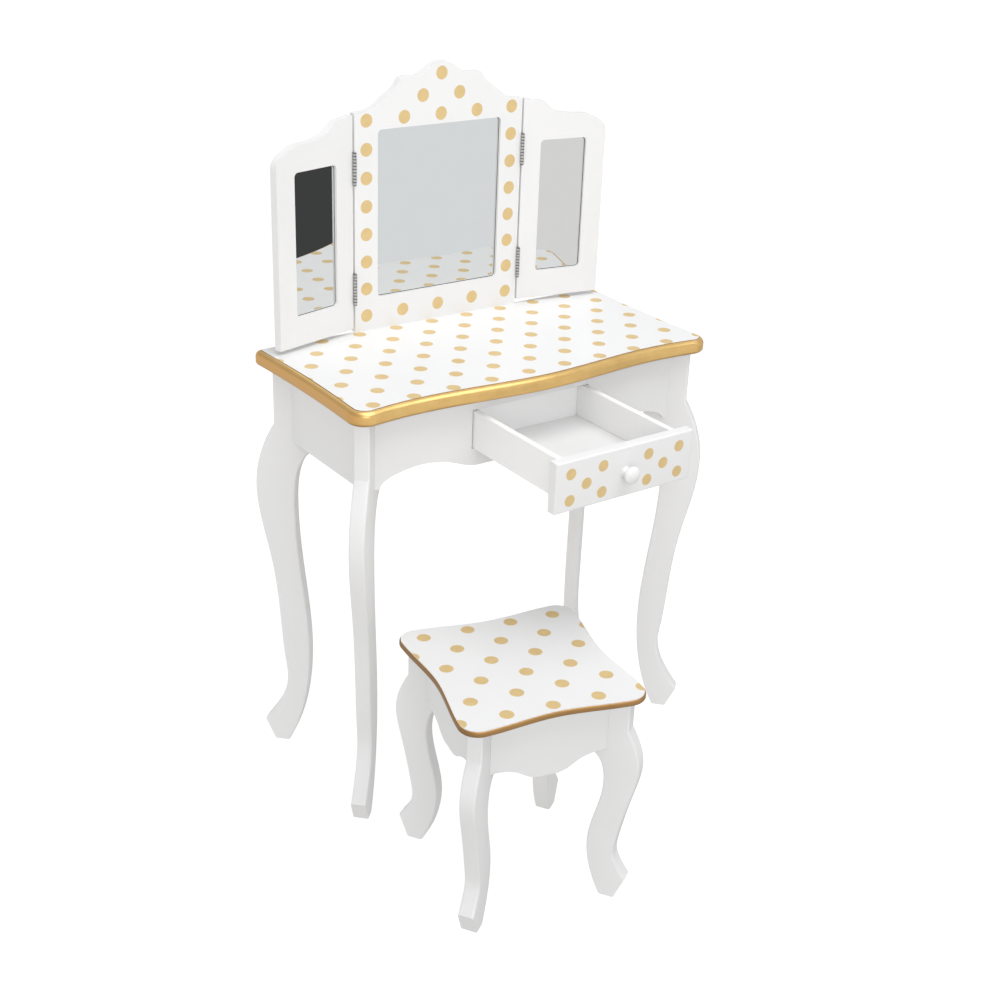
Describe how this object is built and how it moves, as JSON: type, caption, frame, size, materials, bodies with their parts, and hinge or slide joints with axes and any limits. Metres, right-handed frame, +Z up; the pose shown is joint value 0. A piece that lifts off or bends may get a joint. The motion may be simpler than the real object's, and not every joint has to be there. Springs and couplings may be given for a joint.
{
  "type": "play dressing table with stool",
  "caption": "Child-size dressing table with curved legs, folding three-leaf mirror, pull-out drawer and matching stool.",
  "frame": {"origin": "on the floor, at the middle of the plan box round the table and its stool as posed", "axes": "+Z up; -Y is the front, where the drawer opens and the stool stands; +X is to the right as seen from the front"},
  "size_m": [0.624, 0.628, 1.0086],
  "materials": {
    "bare_softwood": "unpainted",
    "clip_plastic": "off white",
    "gold_edge": "metallic gold paint on a moulded edge",
    "hardboard": "brown hardboard",
    "hinge_steel": "nickel plated",
    "mirror_glass": "silvered",
    "plate_steel": "zinc plated",
    "screw_steel": "zinc plated",
    "stool_gold_edge": "metallic old gold paint",
    "white_base_board": "white faced thin board",
    "white_paint_gold_dots": "satin white paint with printed pale gold dots",
    "white_satin_paint": "satin white paint on fibreboard"
  },
  "bodies": {
    "table": {"apron_back": "white_satin_paint", "apron_front": "white_satin_paint", "apron_left": "white_satin_paint", "apron_right": "white_satin_paint", "corner_blocks": "bare_softwood", "drawer_runners": "bare_softwood", "hinge_fixed_leaves": "hinge_steel", "hinge_fixed_screws": "screw_steel", "hinge_pins": "hinge_steel", "leg_back_left": "white_satin_paint", "leg_back_right": "white_satin_paint", "leg_bolts": "screw_steel", "leg_front_left": "white_satin_paint", "leg_front_right": "white_satin_paint", "mirror_back_plates": "plate_steel", "mirror_centre_backing": "hardboard", "mirror_centre_clip_screws": "screw_steel", "mirror_centre_clips": "clip_plastic", "mirror_centre_frame": "white_paint_gold_dots", "mirror_centre_glass": "mirror_glass", "mirror_dowels": "bare_softwood", "mirror_plate_screws": "screw_steel", "tabletop": "white_paint_gold_dots", "tabletop_edging": "gold_edge", "top_screws": "screw_steel"},
    "drawer": {"drawer_back": "white_satin_paint", "drawer_base": "white_base_board", "drawer_front": "white_paint_gold_dots", "drawer_knob": "white_satin_paint", "drawer_knob_screw": "screw_steel", "drawer_side_left": "white_satin_paint", "drawer_side_right": "white_satin_paint", "drawer_stop": "bare_softwood"},
    "left_wing": {"wing_left_backing": "hardboard", "wing_left_clip_screws": "screw_steel", "wing_left_clips": "clip_plastic", "wing_left_frame": "white_satin_paint", "wing_left_glass": "mirror_glass", "wing_left_hinge_leaves": "hinge_steel", "wing_left_hinge_screws": "screw_steel"},
    "right_wing": {"wing_right_backing": "hardboard", "wing_right_clip_screws": "screw_steel", "wing_right_clips": "clip_plastic", "wing_right_frame": "white_satin_paint", "wing_right_glass": "mirror_glass", "wing_right_hinge_leaves": "hinge_steel", "wing_right_hinge_screws": "screw_steel"},
    "stool": {"stool_apron_back": "white_satin_paint", "stool_apron_front": "white_satin_paint", "stool_apron_left": "white_satin_paint", "stool_apron_right": "white_satin_paint", "stool_corner_blocks": "bare_softwood", "stool_leg_back_left": "white_satin_paint", "stool_leg_back_right": "white_satin_paint", "stool_leg_bolts": "screw_steel", "stool_leg_front_left": "white_satin_paint", "stool_leg_front_right": "white_satin_paint", "stool_seat": "white_paint_gold_dots", "stool_seat_edge": "stool_gold_edge", "stool_seat_screws": "screw_steel"}
  },
  "joints": [
    {"name": "drawer_slide", "type": "slide", "parent": "table", "child": "drawer", "axis": [0, 1, 0], "range_m": [0, 0.1925]},
    {"name": "left_wing_hinge", "type": "hinge", "parent": "table", "child": "left_wing", "pos_m": [-0.14011, 0.29579, 0.785], "axis": [0, 0, 1], "range_deg": [-14.4, 150]},
    {"name": "right_wing_hinge", "type": "hinge", "parent": "table", "child": "right_wing", "pos_m": [0.14589, 0.29579, 0.785], "axis": [0, 0, -1], "range_deg": [-9.1, 155]},
    {"name": "stool_slide", "type": "slide", "parent": "table", "child": "stool", "axis": [0.4516, 0.8922, 0], "range_m": [-0.15, 0.34]}
  ]
}
